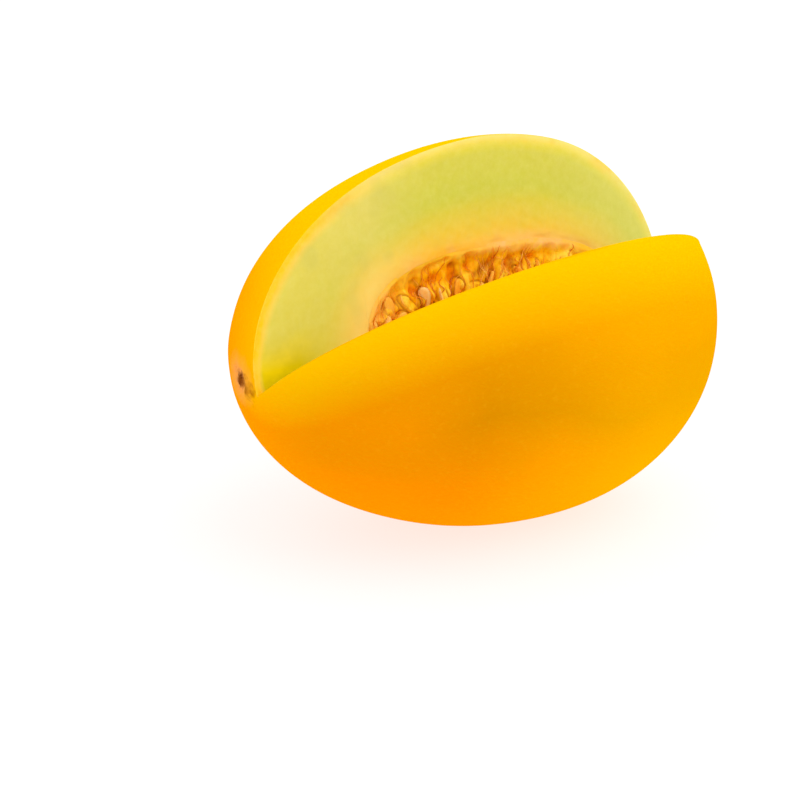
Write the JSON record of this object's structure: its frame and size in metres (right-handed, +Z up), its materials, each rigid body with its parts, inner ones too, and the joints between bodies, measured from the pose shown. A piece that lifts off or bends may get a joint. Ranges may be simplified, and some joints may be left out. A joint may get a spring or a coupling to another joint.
{
  "type": "canary melon",
  "caption": "Ripe canary melon lying on its side with a long wedge cut out of its top, showing pale green flesh and the seed cavity full of orange pulp and cream seeds.",
  "frame": {"origin": "middle of the fruit's footprint, on the surface that it rests on", "axes": "+X from the stem end to the blossom end along the fruit's long axis, -Y towards the side that the wedge leans to, +Z up"},
  "size_m": [0.2133, 0.1596, 0.1581],
  "materials": {
    "rind": "satin",
    "flesh": "satin",
    "pulp": "gloss",
    "seed": "satin"
  },
  "bodies": {
    "root": {"melon_body": "rind", "seed_mass": "pulp"}
  },
  "joints": []
}
